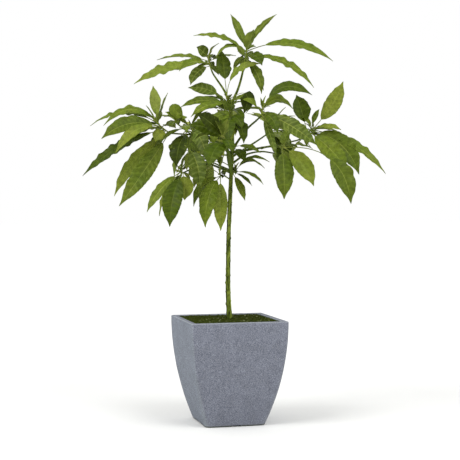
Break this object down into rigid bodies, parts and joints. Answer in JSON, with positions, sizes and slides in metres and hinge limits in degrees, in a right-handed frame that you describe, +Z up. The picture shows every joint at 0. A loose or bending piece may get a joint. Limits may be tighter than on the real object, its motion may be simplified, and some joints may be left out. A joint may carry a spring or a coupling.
{
  "type": "potted avocado tree",
  "caption": "Young avocado tree on one slender trunk, with long drooping pointed leaves, growing in a tall tapered square planter of stone.",
  "frame": {"origin": "centre of the planter's flat underside", "axes": "+Z up along the trunk, X and Y along the planter's sides, -Y towards the side seen from the front"},
  "size_m": [1.2475, 0.9315, 1.7088],
  "materials": {
    "planter": "matte",
    "soil": "matte",
    "bark": "satin",
    "leaf": "satin"
  },
  "bodies": {
    "root": {"planter": "planter", "soil": "soil", "trunk": "bark", "leader": "bark", "left_fork": "bark", "right_upper_bough": "bark", "right_lower_bough": "bark", "right_far_bough": "bark", "left_bough": "bark", "left_inner_bough": "bark", "left_lower_bough": "bark", "low_left_bough": "bark", "front_bough": "bark", "front_upper_bough": "bark", "back_left_bough": "bark", "back_right_bough": "bark", "back_bough": "bark", "low_back_left_bough": "bark", "low_back_right_bough": "bark", "crown_top": "leaf", "crown_left": "leaf", "fork_spray": "leaf", "upper_front": "leaf", "right_upper": "leaf", "right_middle": "leaf", "right_far": "leaf", "left_far": "leaf", "left_inner": "leaf", "left_lower": "leaf", "low_left": "leaf", "low_middle": "leaf", "low_right": "leaf", "right_small": "leaf", "front": "leaf", "back_left": "leaf", "back_right": "leaf", "back": "leaf", "low_back_left": "leaf", "low_back_right": "leaf"}
  },
  "joints": []
}
